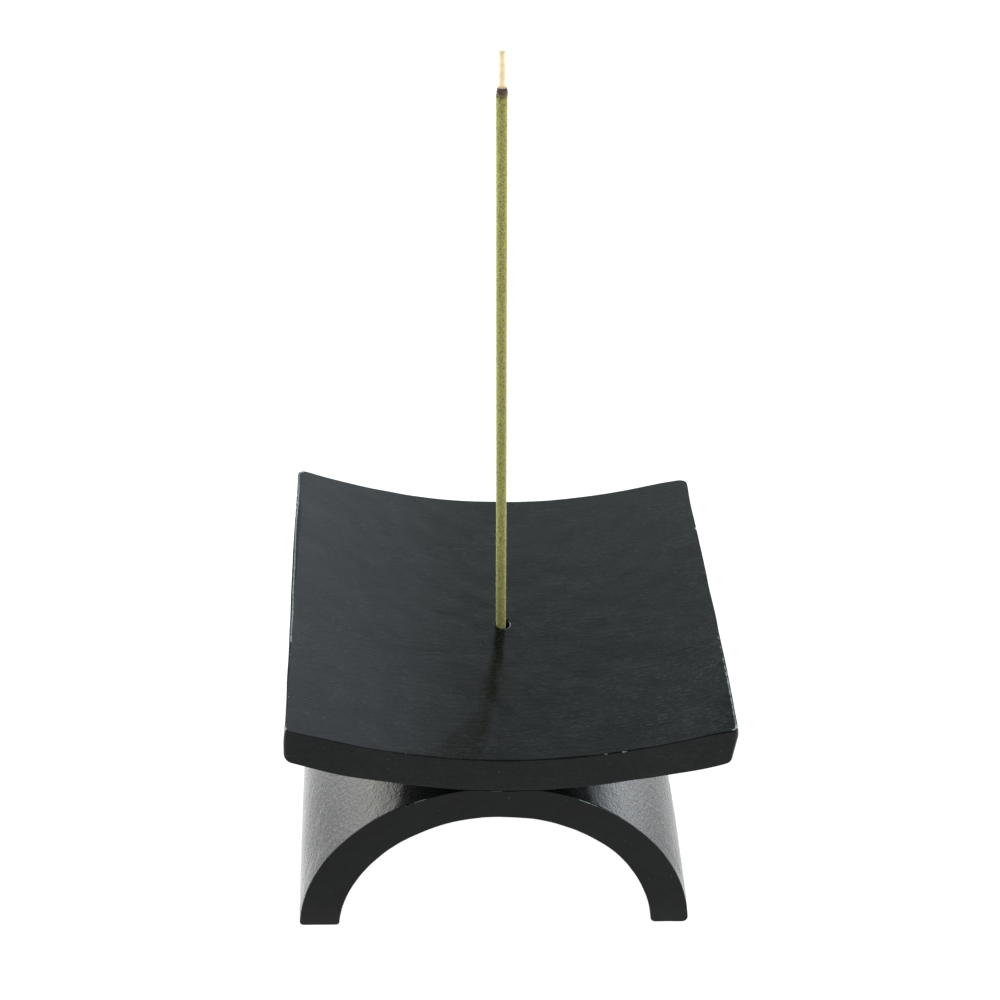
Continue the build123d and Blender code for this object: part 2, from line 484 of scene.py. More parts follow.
def make_dish(context):
    """Dish: the slab's grid, waved by hand work, with chips bitten out of its upper edges."""
    stone = context.scene.burner_stone
    low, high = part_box("dish")
    rings, edge = dish_rings(stone)
    waves = (height * MM * wave_field(rings, long * MM, seed) for height, long, seed in DISH_WAVES)
    rings[..., 2] += sum(waves)
    rings = roughen(rings, 0.02 * MM, 9 * MM, 21)
    bare = np.zeros(rings.shape[:2])
    for across, along, radius, depth in DISH_CHIPS:
        x = across * stone.dish_width / 2
        y = along * high.y
        z = float(curve_height(stone, stone.trough_radius, x) + top_error(x, y))
        outward = Vector((across if abs(across) == 1 else 0, along if abs(along) == 1 else 0, 1)).normalized()
        centre = np.array((x, y, z)) + np.array(outward) * (radius - depth) * MM
        bite(rings, bare, centre, radius * MM)
    rings = np.clip(rings, np.array(low), np.array(high))
    worn = edge * dish_wear(rings, low, high)
    under = np.arange(len(rings)) >= len(rings) - UNDER_RINGS
    sawn = under[:, None] * np.ones(rings.shape[1])
    fields = {"worn": worn, "bare": bare, "sawn": sawn, "haze": dish_haze(rings, low, high)}
    piece = closed_mesh("dish_stone", rings, fields)
    finish_piece(piece, dish_material(stone), "burner", "black_stone", "dish")


# ---------- Arch ----------


ARCH_CORNER_RADII = (0.8, 1.2, 1.4, 0.9)  # mm, at the feet: inner left and right, outer right and left
LEFT_LEG_BULGE = 0.28 * MM
SHOULDER_SLIP = 0.3 * MM
ARCH_WAVES = ((0.04, 22, 41), (0.015, 4, 44))  # height and length in mm of waves in its faces, and a seed


def arch_spread(angle, y, front):
    """How far each leg stands outside its circle: little at the front face and more behind it, most on the
    right, with a bulge low on the left."""
    behind = np.clip((y / MM + 50) / 30, 0, 1)
    spread = (0.15 + 0.50 * behind**0.7) * MM
    spread = spread * (1 + 0.35 * np.sign(angle) * (y > front + 5 * MM))
    share_back = np.clip((y - front) / (25 * MM), 0, 1)
    return spread + LEFT_LEG_BULGE * hump(angle, radians(-70), radians(12)) * share_back


def arch_rings(stone):
    """The arch as one grid. Around is the outline of its section, a rounded rectangle of arc length and
    wall that is then bent: a share of the arc at a radius becomes that share of the angle at which a
    circle of that radius meets the ground. The wall is a little uneven inside, and its outer shoulders
    stand a little to the left. The rings run from the front face's middle line out to its edge, round
    the edge, along the arch, and so on to the back face's middle line."""
    low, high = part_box("arch_stand")
    middle_radius = stone.arch_outer_radius - stone.arch_wall / 2
    half_wall = stone.arch_wall / 2
    half_arc = middle_radius * np.arccos(stone.arch_centre_drop / middle_radius)
    centre_x = (low.x + high.x) / 2
    corners = [(-half_arc, -half_wall), (half_arc, -half_wall), (half_arc, half_wall), (-half_arc, half_wall)]
    radii = np.array(ARCH_CORNER_RADII) * MM
    section, inward = rounded_outline(corners, radii, [250, 10, 250, 10], 7)
    along_spine = np.clip(section[:, 0], half_wall - half_arc, half_arc - half_wall)
    spine = np.stack([along_spine, 0 * along_spine], axis=1)
    rounding = stone.edge_radius * (
        1 + 0.3 * wave_field(np.concatenate([section, 0 * section[:, :1]], axis=1), 12 * MM, 31)
    )
    rings, edge, brushed = [], [], []

    def add(flat, y, closeness, curved=0.0):
        radius = middle_radius + flat[:, 1]
        angle = flat[:, 0] / half_arc * np.arccos(stone.arch_centre_drop / radius)
        outer = np.clip(flat[:, 1] / stone.arch_wall + 0.5, 0, 1)
        thicker = (0.13 + 0.12 * np.cos(angle) - 0.17 * np.sin(angle)) * MM
        radius = radius - thicker * (1 - outer)
        x = centre_x + radius * np.sin(angle) - SHOULDER_SLIP * outer * np.abs(np.sin(2 * angle))
        x = x + arch_spread(angle, y, low.y) * outer * np.sin(angle) ** 2 * np.sign(angle)
        z = radius * np.cos(angle) - stone.arch_centre_drop
        rings.append(np.stack([x, y * np.ones(len(x)), z], axis=1))
        edge.append(closeness * np.ones(len(x)))
        # Brush marks and their pale film fade out towards the crown; losing the pale film there is painted
        # shade in the wedge under the dish.
        clear_of_crown_shade = np.clip((np.abs(angle) - radians(27)) / radians(18), 0, 1)
        brushed.append(0.06 + 0.94 * curved * outer * clear_of_crown_shade)

    rim = section + inward * rounding[:, None]
    cap = np.array([0, 0.2, 0.4, 0.6, 0.8, 0.9, 0.95, 1.0])
    turn = np.linspace(0, np.pi / 2, 6)
    for step in cap:
        add(spine * (1 - step) + rim * step, low.y, 0.0)
    for angle in turn[1:]:
        flat = section + inward * (rounding * (1 - np.sin(angle)))[:, None]
        add(flat, low.y + rounding * (1 - np.cos(angle)), np.sin(2 * angle) ** 2)
    start = low.y + rounding
    end = high.y - rounding
    for step in (0.002, 0.004, *np.linspace(0.01, 0.99, 104), 0.996, 0.998):
        add(section, start * (1 - step) + end * step, 0.0, 1.0)
    for angle in turn[::-1]:
        flat = section + inward * (rounding * (1 - np.sin(angle)))[:, None]
        add(flat, high.y - rounding * (1 - np.cos(angle)), 1.0)
    for step in cap[::-1][1:]:
        add(spine * (1 - step) + rim * step, high.y, hump(1 - step, 0, 0.1))
    return np.array(rings), np.array(edge), np.array(brushed)


def arch_wear(points, centre_x, low):
    """How rubbed the arch's edges are: a little everywhere, with worn stretches along the front outer edge
    at both sides of the crown."""
    angle = np.degrees(np.arctan2(points[..., 0] - centre_x, points[..., 2]))
    front = points[..., 1] < low.y + 1.0 * MM
    outer = np.hypot(points[..., 0] - centre_x, points[..., 2]) > 39 * MM
    stretches = hump(angle, -26, 5) + hump(angle, 27, 7) + 0.8 * hump(angle, 46, 2.5)
    return 0.30 + 0.75 * np.clip(stretches, 0, 1) * front * outer


ARCH_CHIPS = (
    # angle from the crown in degrees, radius and depth in mm, on the front outer edge
    (-28.5, 0.45, 0.06),
    (-21.0, 0.45, 0.05),
    (25.0, 0.45, 0.05),
    (44.0, 0.45, 0.08),
)


def make_arch(context):
    """Arch stand: the bent grid, its crown cut down to the seat under the dish, waved and chipped."""
    stone = context.scene.burner_stone
    low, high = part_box("arch_stand")
    rings, edge, brushed = arch_rings(stone)
    for height, wave, seed in ARCH_WAVES:
        rings = roughen(rings, height * MM, wave * MM, seed)
    seat_radius = stone.trough_radius + stone.slab_thickness + stone.bond_thickness
    rings[..., 2] = np.minimum(rings[..., 2], curve_height(stone, seat_radius, rings[..., 0]))
    bare = np.zeros(rings.shape[:2])
    centre_x = (low.x + high.x) / 2
    for degrees, radius, depth in ARCH_CHIPS:
        angle = radians(degrees)
        outward = np.array((np.sin(angle), -1.0, np.cos(angle))) / np.sqrt(2)
        edge_x = centre_x + stone.arch_outer_radius * np.sin(angle)
        edge_z = stone.arch_outer_radius * np.cos(angle) - stone.arch_centre_drop
        edge_point = np.array((edge_x, low.y, edge_z))
        bite(rings, bare, edge_point + outward * (radius - depth) * MM, radius * MM)
    dish_low, dish_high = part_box("dish")
    rings = np.clip(rings, (dish_low.x, dish_low.y, 0.0), (dish_high.x, dish_high.y, high.z))
    worn = edge * arch_wear(rings, centre_x, low)
    piece = closed_mesh("arch_stone", rings, {"worn": worn, "bare": bare, "brushed": brushed})
    finish_piece(piece, arch_material(stone), "burner", "black_stone", "arch_stand")


# ---------- Incense ----------


PASTE_GRAINS = ((0.6, 0.9, 61), (0.4, 0.45, 64))  # share of the grain height, length in mm, and a seed
PASTE_SWAY = 0.05 * MM
ASH_RADIUS = 0.74 * MM
ASH_NECK = 0.07  # share of the ash over which it necks in
SCORCH_REACH = 0.3 * MM


def rod_rings(start, end, radii, around, sway):
    """A rod as one grid: rings of the given radii about the line from start to end, closed at both ends by
    collapsed rings. sway shifts each ring's centre across the line by a smooth random curve."""
    start, end = np.array(start), np.array(end)
    line = end - start
    direction = line / np.linalg.norm(line)
    side = np.cross(direction, (0.0, 1.0, 0.0))
    side /= np.linalg.norm(side)
    other = np.cross(direction, side)
    along = np.linspace(0, 1, len(radii))
    centres = start + line * along[:, None]
    centres = centres + side * (sway * wave_field(centres, 60 * MM, 51))[:, None]
    angles = np.linspace(0, 2 * np.pi, around, endpoint=False)
    circle = side * np.cos(angles)[:, None] + other * np.sin(angles)[:, None]
    rings = centres[:, None, :] + circle * np.asarray(radii)[:, None, None]
    return np.concatenate([centres[None, :1] + 0 * rings[:1], rings, centres[None, -1:] + 0 * rings[:1]])


def node_ends(node):
    """The two ends, on the stick's axis, of a piece of the stick: where the axis passes the middle of the
    node's box, moved by half the piece's length. The box is as deep as the piece is thick."""
    low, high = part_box(node)
    foot, direction, _ = stick_frame()
    tilt = abs(direction.x)
    widest = (high.y - low.y) / 2
    height = (high.z - low.z - 2 * widest * tilt) / direction.z
    start_z = low.z + widest * tilt
    start = foot + direction * ((start_z - foot.z) / direction.z)
    return start, start + direction * height


def make_paste(context):
    """Unburnt incense: a rod whose skin is raised and pitted by two sizes of grain."""
    incense = context.scene.burner_incense
    start, end = node_ends("incense_stick")
    _, _, radius = stick_frame()
    rings = rod_rings(start, end, np.full(560, radius), 40, PASTE_SWAY)
    for part, wave, seed in PASTE_GRAINS:
        rings = roughen(rings, part * incense.grain_height, wave * MM, seed)
    distance = (rings - np.array(end)) @ -np.array((end - start).normalized())
    ragged = distance + 0.25 * MM * wave_field(rings, 0.9 * MM, 67)
    scorch = np.exp(-np.maximum(ragged, 0) / SCORCH_REACH)
    piece = closed_mesh("stick_paste", rings, {"scorch": scorch})
    finish_piece(piece, paste_material(incense), "stick", "incense_paste", "incense_stick")


def make_burning_tip(context):
    """Char ring and ash column: two rods of changing radius, one on the other. The char narrows in a
    rough cone; the ash necks in above it and then stands straight, cracked and a little crooked."""
    incense = context.scene.burner_incense
    _, _, radius = stick_frame()
    start, end = node_ends("char_ring")
    ash_low, ash_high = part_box("ash_column")
    top_radius = (ash_high.y - ash_low.y) / 2
    rings = rod_rings(start, end, 0.985 * radius + (top_radius - radius) * eased(16, 3.0), 40, 0.0)
    rings = roughen(rings, 0.02 * MM, 0.6 * MM, 71)
    fresh = hump(rings[..., 2], start.z, 0.55 * MM)
    char = closed_mesh("stick_char", rings, {"fresh": fresh})
    finish_piece(char, char_material(incense), "stick", "char", "char_ring")

    start, end = node_ends("ash_column")
    share_up = np.linspace(0, 1, 60)
    neck = np.exp(-share_up / ASH_NECK)
    rings = rod_rings(start, end, ASH_RADIUS + (top_radius - ASH_RADIUS) * neck, 36, 0.0)
    rings = roughen(rings, 0.018 * MM, 1.4 * MM, 74)
    rings = roughen(rings, 0.008 * MM, 0.5 * MM, 77)
    rings[..., 2] = np.minimum(rings[..., 2], ash_high.z)
    singed = 0.8 * hump(rings[..., 2], start[2], 0.45 * MM)
    ash = closed_mesh("stick_ash", rings, {"singed": singed})
    finish_piece(ash, ash_material(incense), "stick", "ash", "ash_column")


# ---------- Materials ----------


def add_node(tree, kind, inputs=None, **settings):
    """A new node. inputs gives sockets, by name or number, a value or another node's output."""
    made = tree.nodes.new(kind)
    for key, value in settings.items():
        setattr(made, key, value)
    for socket, value in (inputs or {}).items():
        if isinstance(value, bpy.types.NodeSocket):
            tree.links.new(value, made.inputs[socket])
        else:
            made.inputs[socket].default_value = value
    return made


def new_material(name):
    """An empty node material, its tree, and the object's own coordinates."""
    material = bpy.data.materials.new(name)
    material.use_nodes = True
    tree = material.node_tree
    tree.nodes.clear()
    place = add_node(tree, "ShaderNodeTexCoord").outputs["Object"]
    return material, tree, place


def noise(tree, place, size, detail=2.0, stretch=(1, 1, 1), roughness=0.5):
    """Noise of about that size in metres, drawn out along an axis where stretch is above 1."""
    scale = tuple(1 / (size * draw) for draw in stretch)
    mapped = add_node(tree, "ShaderNodeMapping", {"Vector": place, "Scale": scale}).outputs["Vector"]
    return add_node(
        tree, "ShaderNodeTexNoise", {"Vector": mapped, "Scale": 1.0, "Detail": detail, "Roughness": roughness}
    ).outputs["Fac"]


def remap(tree, value, low, high, to_low=0.0, to_high=1.0):
    """value carried from the range low to high onto the range to_low to to_high, and held there."""
    return add_node(
        tree,
        "ShaderNodeMapRange",
        {"Value": value, "From Min": low, "From Max": high, "To Min": to_low, "To Max": to_high},
    ).outputs["Result"]


def combine(tree, operation, first, second=0.0):
    """The result of one operation on two numbers or sockets."""
    return add_node(tree, "ShaderNodeMath", {0: first, 1: second}, operation=operation).outputs[0]


def times(tree, first, *others):
    """first multiplied by each of the others in turn."""
    for other in others:
        first = combine(tree, "MULTIPLY", first, other)
    return first


def plus(tree, first, *others):
    """first with each of the others added to it in turn."""
    for other in others:
        first = combine(tree, "ADD", first, other)
    return first


def minus(tree, first, second):
    """first less second."""
    return combine(tree, "SUBTRACT", first, second)


def blend(tree, factor, first, second):
    """first where factor is 0 and second where it is 1; both are colours or colour sockets."""

    def full(value):
        return value if isinstance(value, bpy.types.NodeSocket) else (*value, 1.0)

    return add_node(
        tree, "ShaderNodeMix", {"Factor": factor, 6: full(first), 7: full(second)}, data_type="RGBA"
    ).outputs[2]


def bump(tree, height, distance, before=None):
    """Normals of a height from 0 to 1 over that distance in metres, on top of earlier normals."""
    inputs = {"Strength": 1.0, "Distance": distance, "Height": height}
    if before is not None:
        inputs["Normal"] = before
    return add_node(tree, "ShaderNodeBump", inputs).outputs["Normal"]


def scattered(tree, place, size):
    """Grains scattered about that size apart: the distance from the nearest one, in sizes, and a random
    number from 0 to 1 that belongs to it."""
    cells = add_node(tree, "ShaderNodeTexVoronoi", {"Vector": place, "Scale": 1 / size})
    number = add_node(tree, "ShaderNodeSeparateColor", {0: cells.outputs["Color"]}).outputs[0]
    return cells.outputs["Distance"], number


def attribute(tree, name):
    """A value stored on the piece's own points."""
    return add_node(tree, "ShaderNodeAttribute", attribute_name=name).outputs["Fac"]


def surface(tree, base, rough, constants, normal=None):
    """The Principled shader with this colour, roughness, normals and constants, joined to the output."""
    inputs = {"Base Color": base, "Roughness": rough, **constants}
    if normal is not None:
        inputs["Normal"] = normal
    shader = add_node(tree, "ShaderNodeBsdfPrincipled", inputs)
    add_node(tree, "ShaderNodeOutputMaterial", {"Surface": shader.outputs["BSDF"]})


STONE_IOR = 1.5
STONE_SHINE = 0.20  # specular level of the blackened surface
RESIN_IOR = 1.5
INCENSE_IOR = 1.45
ASH_IOR = 1.4
POWDER_SHEEN = {"Sheen Weight": 0.5, "Sheen Roughness": 0.35, "Sheen Tint": (1.0, 0.98, 0.75, 1.0)}
# Pale colour on the tops of brush marks: dust on the dish, and on the arch partly a painted sheen for the
# light its flanks reflect.
DUST_AND_SHEEN = (0.06, 0.063, 0.060)
GREY_GRAIN = (0.014, 0.016, 0.016)
POWDER = (0.060, 0.072, 0.070)
PALE_SPECK = (0.08, 0.10, 0.10)
SCORCHED = (0.045, 0.030, 0.016)
ASH_DUST = (0.22, 0.15, 0.10)
HALF_BURNT = (0.17, 0.14, 0.05)
ASH_CRACK = (0.42, 0.30, 0.20)
SINGED_ASH = (0.30, 0.20, 0.12)
RESIN_DEEP = (0.012, 0.011, 0.009)
RESIN_LIGHT = (0.05, 0.045, 0.035)


def stone_surface(tree, place, stone, rough, brushed, brushed_depth, dust, sawn=0.0, haze=0.0):
    """Blackened soft stone: mottled, brushed, with pale specks, and bare grey stone where an edge is chipped
    or rubbed; at the socket's rim that bare stone is partly a painted highlight. rough is the lowest and
    highest roughness, brushed the height of the brush marks, brushed_depth their depth in metres, dust the
    share of pale colour on their tops, which is dust on the dish and on the arch partly a painted sheen for
    reflected light, sawn the part left matt by the saw, and haze the stone powder rubbed in along the
    sanding lines."""
    mottle = noise(tree, place, 9 * MM, 4.0, roughness=0.6)
    warm = noise(tree, place, 6 * MM, 3.0)
    grain = noise(tree, place, 0.45 * MM, 3.0, roughness=0.7)
    peel = noise(tree, place, 3.5 * MM, 2.0)
    distance, chosen = scattered(tree, place, 1.3 * MM)
    specks = times(tree, remap(tree, distance, 0.09, 0.17, 1.0, 0.0), remap(tree, chosen, 0.85, 1.0))
    patchy = minus(tree, noise(tree, place, 1.6 * MM, 5.0, roughness=0.7), 0.5)
    rubbed = plus(tree, attribute(tree, "worn"), times(tree, patchy, 1.6))
    rubbed = remap(tree, rubbed, 0.90 - 0.4 * stone.wear, 1.2 - 0.4 * stone.wear, 0.0, 0.75)
    chipped = times(tree, attribute(tree, "bare"), remap(tree, grain, 0.35, 0.6, 0.35, 0.8))
    worn = combine(tree, "MAXIMUM", rubbed, chipped)
    light = tuple(1.9 * part for part in stone.black)
    dark = blend(tree, remap(tree, mottle, 0.35, 0.65), stone.black, light)
    brown = (1.7 * stone.black[0], 1.25 * stone.black[1], 0.9 * stone.black[2])
    dark = blend(tree, remap(tree, warm, 0.5, 0.7, 0.0, 0.5), dark, brown)
    # Pale colour on the tops of the marks: dust, and on the arch partly a painted sheen.
    dark = blend(tree, remap(tree, brushed, 0.52, 0.68, 0.0, dust), dark, DUST_AND_SHEEN)
    dark = blend(tree, remap(tree, grain, 0.52, 0.75, 0.0, 0.5), dark, GREY_GRAIN)
    powder = noise(tree, place, 0.6 * MM, 3.0, (2.6, 0.8, 1), roughness=0.72)
    powder = remap(tree, powder, 0.48, 0.70, 0.0, 0.45)
    powder = times(tree, powder, haze, remap(tree, mottle, 0.35, 0.65, 0.5, 1.3))
    dark = blend(tree, powder, dark, POWDER)
    flecked = blend(tree, times(tree, specks, 0.5), dark, PALE_SPECK)
    base = blend(tree, worn, flecked, stone.bare)
    rough = remap(tree, mottle, 0.3, 0.7, *rough)
    rough = plus(tree, rough, remap(tree, grain, 0.3, 0.7, -0.03, 0.04))
    rough = plus(tree, rough, times(tree, worn, 0.3), times(tree, sawn, 0.55))
    normal = bump(tree, brushed, brushed_depth)
    normal = bump(tree, grain, 0.010 * MM, normal)
    normal = bump(tree, peel, 0.012 * MM, normal)
    surface(tree, base, rough, {"IOR": STONE_IOR, "Specular IOR Level": STONE_SHINE}, normal)


def dish_material(stone):
    """Black stone of the dish, with fine sanding lines from side to side."""
    material, tree, place = new_material("black_dish_stone")
    lines = noise(tree, place, 0.5 * MM, 3.0, (30, 1, 30), 0.6)
    ripple = noise(tree, place, 1.3 * MM, 2.0, (3.2, 1, 3.2), 0.5)
    sanded = plus(tree, times(tree, lines, 0.40), times(tree, ripple, 0.60))
    sawn = attribute(tree, "sawn")
    haze = attribute(tree, "haze")
    stone_surface(tree, place, stone, (0.12, 0.17), sanded, 0.036 * MM, 0.05, sawn, haze)
    return material


def arch_material(stone):
    """Black stone of the arch, rougher, with short coarse brush marks that slant up to the middle."""
    material, tree, place = new_material("black_arch_stone")
    bent = add_node(
        tree, "ShaderNodeMapping", {"Vector": place, "Rotation": (radians(35), 0.0, 0.0)}
    ).outputs["Vector"]
    marks = noise(tree, bent, 0.75 * MM, 2.0, (1.2, 2.8, 1), 0.6)
    pits = noise(tree, place, 0.75 * MM, 2.0, roughness=0.6)
    marks = times(tree, plus(tree, marks, pits), 0.5)
    marks = plus(tree, times(tree, minus(tree, marks, 0.5), attribute(tree, "brushed")), 0.5)
    # Full pale colour on the brush marks' tops: partly dust, partly a painted sheen for the light the flanks
    # reflect; it fades near the crown as painted shade.
    stone_surface(tree, place, stone, (0.15, 0.21), marks, 0.34 * MM, 1.0)
    return material


def adhesive_material():
    """Dark cured resin, glossy, with a few bubbles."""
    material, tree, place = new_material("dark_resin")
    cloud = noise(tree, place, 3 * MM, 3.0)
    bubbles, _ = scattered(tree, place, 1.2 * MM)
    base = blend(tree, cloud, RESIN_DEEP, RESIN_LIGHT)
    rough = remap(tree, cloud, 0.3, 0.7, 0.18, 0.35)
    normal = bump(tree, remap(tree, bubbles, 0.1, 0.3), 0.04 * MM)
    surface(tree, base, rough, {"IOR": RESIN_IOR}, normal)
    return material


def paste_material(incense):
    """Pressed incense powder: grainy, with dark flecks and pale grains, scorched brown at the burnt end."""
    material, tree, place = new_material("pressed_incense")
    cloud = noise(tree, place, 3.0 * MM, 3.0)
    grain = noise(tree, place, 0.35 * MM, 3.0, roughness=0.7)
    distance, chosen = scattered(tree, place, 0.55 * MM)
    chosen = remap(tree, chosen, 0.35, 0.5, 1.0, 0.0)
    flecks = times(tree, remap(tree, distance, 0.18, 0.34, 1.0, 0.0), chosen)
    light = tuple(min(1.0, 1.75 * part) for part in incense.paste)
    deep = tuple(0.52 * part for part in incense.paste)
    base = blend(tree, remap(tree, grain, 0.35, 0.65), deep, light)
    base = blend(tree, remap(tree, cloud, 0.3, 0.7, 0.0, 0.25), base, deep)
    base = blend(tree, flecks, base, incense.fleck)
    base = blend(tree, attribute(tree, "scorch"), base, SCORCHED)
    rough = remap(tree, grain, 0.3, 0.7, 0.75, 0.95)
    surface(tree, base, rough, {"IOR": INCENSE_IOR, **POWDER_SHEEN}, bump(tree, grain, 0.05 * MM))
    return material


def char_material(incense):
    """Charred incense: dark brown, with grey ash dust in its hollows."""
    material, tree, place = new_material("charred_incense")
    grain = noise(tree, place, 0.3 * MM, 4.0, roughness=0.7)
    dusty = noise(tree, place, 0.8 * MM, 3.0)
    base = blend(tree, remap(tree, dusty, 0.5, 0.72, 0.0, 0.35), incense.char, ASH_DUST)
    base = blend(tree, attribute(tree, "fresh"), base, HALF_BURNT)
    rough = remap(tree, grain, 0.3, 0.7, 0.8, 1.0)
    surface(tree, base, rough, {"IOR": INCENSE_IOR}, bump(tree, grain, 0.08 * MM))
    return material


def ash_material(incense):
    """Standing ash: warm off-white, cracked across, with greyer patches."""
    material, tree, place = new_material("standing_ash")
    patches = noise(tree, place, 1.6 * MM, 4.0)
    cracks = noise(tree, place, 0.35 * MM, 4.0, (2, 2, 1), 0.7)
    grey = tuple(0.82 * part for part in incense.ash)
    base = blend(tree, remap(tree, patches, 0.35, 0.65), incense.ash, grey)
    base = blend(tree, remap(tree, cracks, 0.62, 0.72, 0.0, 0.45), base, ASH_CRACK)
    base = blend(tree, attribute(tree, "singed"), base, SINGED_ASH)
    rough = remap(tree, patches, 0.3, 0.7, 0.85, 1.0)
    surface(tree, base, rough, {"IOR": ASH_IOR}, bump(tree, cracks, 0.06 * MM))
    return material


# ---------- Stage ----------


AIM = (-1.448 * MM, -0.483 * MM, 87.17 * MM)
FRONT_LIGHT = 0.33
BACK_LIGHT = 1.21
SIDE_LIGHT = 0.6
RIGHT_LIGHT = 0.60
LEFT_STRIP_LIGHT = 4.4
RIGHT_STRIP_LIGHT = 3.8
COOL_LIGHT = (0.91, 1.0, 1.035)
COOLER_LIGHT = (0.91, 1.0, 1.08)
WARM_LIGHT = (1.02, 1.02, 0.96)
FLOOR_RINGS = (0.0, 0.2, 0.6, 1.5, 4.0)  # radii in metres
FLOOR_GLOW = (
    # where a ramp begins and ends behind the origin, in metres, and its glow before and after
    (-0.058, -0.040, 0.62, 1.45),
    (-0.17, -0.12, 0.12, 0.0),
    (0.01, 0.06, 0.0, 0.6),
    (0.06, 0.20, 0.0, 1.0),
    (0.20, 0.50, 0.0, 1.3),
)
SEEN_GLOW = 1.0
FLOOR_ROUGHNESS = 0.9
SOFTBOX_SIZE = 0.7
SOFTBOXES = (
    # name, place in metres and power in watts
    ("left_softbox", (-1.2, -0.5, 0.45), 4.5),
    ("right_softbox", (1.2, -0.5, 0.45), 3.5),
)
SOFTBOX_AIM = (0, 0, 0.08)


def make_camera(stage):
    """Camera at its azimuth and elevation, looking at AIM, then turned about its line of sight."""
    turn = Matrix.Rotation(stage.azimuth, 4, "Z") @ Matrix.Rotation(radians(90) - stage.elevation, 4, "X")
    camera = bpy.data.objects.new("studio_camera", bpy.data.cameras.new("studio_camera"))
    camera.data.lens = stage.lens
    camera.data.sensor_width = 36.0
    place = Vector(AIM) + turn.to_3x3() @ Vector((0, 0, stage.distance))
    camera.matrix_world = Matrix.Translation(place) @ turn @ Matrix.Rotation(stage.roll, 4, "Z")
    bpy.context.scene.collection.objects.link(camera)
    bpy.context.scene.camera = camera


def make_world(stage):
    """White studio, its brightness a sum and product of ramps over the direction seen: dim above and in
    front, bright at both sides, white at the back with a brighter and cooler right half, a little dimmer
    high on the left, and with a bright strip low behind each side that lights the arch's flanks."""
    world = bpy.data.worlds.new("white_studio")
    bpy.context.scene.world = world
    world.use_nodes = True
    tree = world.node_tree
    tree.nodes.clear()
    toward = add_node(tree, "ShaderNodeTexCoord").outputs["Generated"]
    x, y, z = add_node(tree, "ShaderNodeSeparateXYZ", {0: toward}).outputs
    level = remap(tree, y, -0.3, 0.2, FRONT_LIGHT, BACK_LIGHT)
    level = plus(tree, level, remap(tree, combine(tree, "ABSOLUTE", x), 0.5, 0.8, 0.0, SIDE_LIGHT))
    level = times(tree, level, remap(tree, z, 0.60, 0.69, 1.0, 0.65), remap(tree, z, 0.72, 0.92, 1.0, 0.4))
    corner = times(tree, remap(tree, x, -0.2, -0.4, 0.0, 0.36), remap(tree, z, 0.62, 0.75))
    right = remap(tree, x, 0.12, 0.34)
    level = plus(tree, times(tree, level, minus(tree, 1.0, corner)), times(tree, right, RIGHT_LIGHT))
    behind = remap(tree, y, 0.1, 0.4)
    left_strip = remap(tree, x, -0.35, -0.60, 0.0, LEFT_STRIP_LIGHT)
    left_strip = times(tree, left_strip, remap(tree, z, 0.30, 0.42, 1.0, 0.0), behind)
    right_strip = remap(tree, x, 0.40, 0.60, 0.0, RIGHT_STRIP_LIGHT)
    right_strip = times(tree, right_strip, remap(tree, z, 0.05, 0.26, 1.0, 0.0), behind)
    level = plus(tree, level, left_strip, right_strip)
    tint = blend(tree, right, COOL_LIGHT, COOLER_LIGHT)
    tint = blend(tree, remap(tree, left_strip, 0.5, 3.0), tint, WARM_LIGHT)
    strength = times(tree, level, stage.surround)
    background = add_node(tree, "ShaderNodeBackground", {"Color": tint, "Strength": strength})
    add_node(tree, "ShaderNodeOutputWorld", {"Surface": background.outputs["Background"]})


def make_floor(stage):
    """A broad pale floor, a disc of rings about the origin, lit from below like a light table: less so in
    front of the object, more behind it and far to the right, less close to its right side. That glow
    lights and is mirrored in the object; seen directly, the floor is an even white."""
    angles = np.linspace(0, 2 * np.pi, 96, endpoint=False)
    circle = np.stack([np.cos(angles), np.sin(angles), 0 * angles], axis=1)
    radii = np.array(FLOOR_RINGS)
    rings = circle[None] * radii[:, None, None]
    floor = closed_mesh("studio_floor", rings, {})
    if floor.data.polygons[0].normal.z < 0:
        floor.data.flip_normals()
    material, tree, place = new_material("pale_floor")
    tone = remap(tree, noise(tree, place, 0.4, 2.0), 0.3, 0.7, 0.97, 1.0)
    across, depth, _ = add_node(tree, "ShaderNodeSeparateXYZ", {0: place}).outputs
    glow = plus(tree, *(remap(tree, depth, *ramp) for ramp in FLOOR_GLOW))
    right_glow = remap(tree, across, 0.03, 0.10, 0.0, 0.6)
    right_glow = times(tree, right_glow, remap(tree, depth, 0.05, 0.15))
    shade = times(tree, remap(tree, across, 0.0, 0.04, 0.0, 0.36), remap(tree, across, 0.10, 0.2, 1.0, 0.0))
    shade = times(tree, shade, remap(tree, depth, -0.058, -0.040, -0.15, 1.0))
    glow = minus(tree, plus(tree, glow, right_glow), shade)
    seen = add_node(tree, "ShaderNodeLightPath").outputs["Is Camera Ray"]
    glow = add_node(tree, "ShaderNodeMix", {"Factor": seen, "A": glow, "B": SEEN_GLOW}).outputs["Result"]
    base = blend(tree, tone, tuple(0.97 * part for part in stage.floor), stage.floor)
    light = {"Emission Color": (1, 1, 1, 1), "Emission Strength": glow, "Specular IOR Level": 0.0}
    surface(tree, base, FLOOR_ROUGHNESS, light)
    floor.data.materials.append(material)


def make_softbox(name, place, power):
    """A square softbox at place that faces the dish."""
    light = bpy.data.lights.new(name, "AREA")
    light.size = SOFTBOX_SIZE
    light.energy = power
    lamp = bpy.data.objects.new(name, light)
    turn = (Vector(place) - Vector(SOFTBOX_AIM)).to_track_quat("Z", "Y")
    lamp.matrix_world = Matrix.Translation(place) @ turn.to_matrix().to_4x4()
    bpy.context.scene.collection.objects.link(lamp)


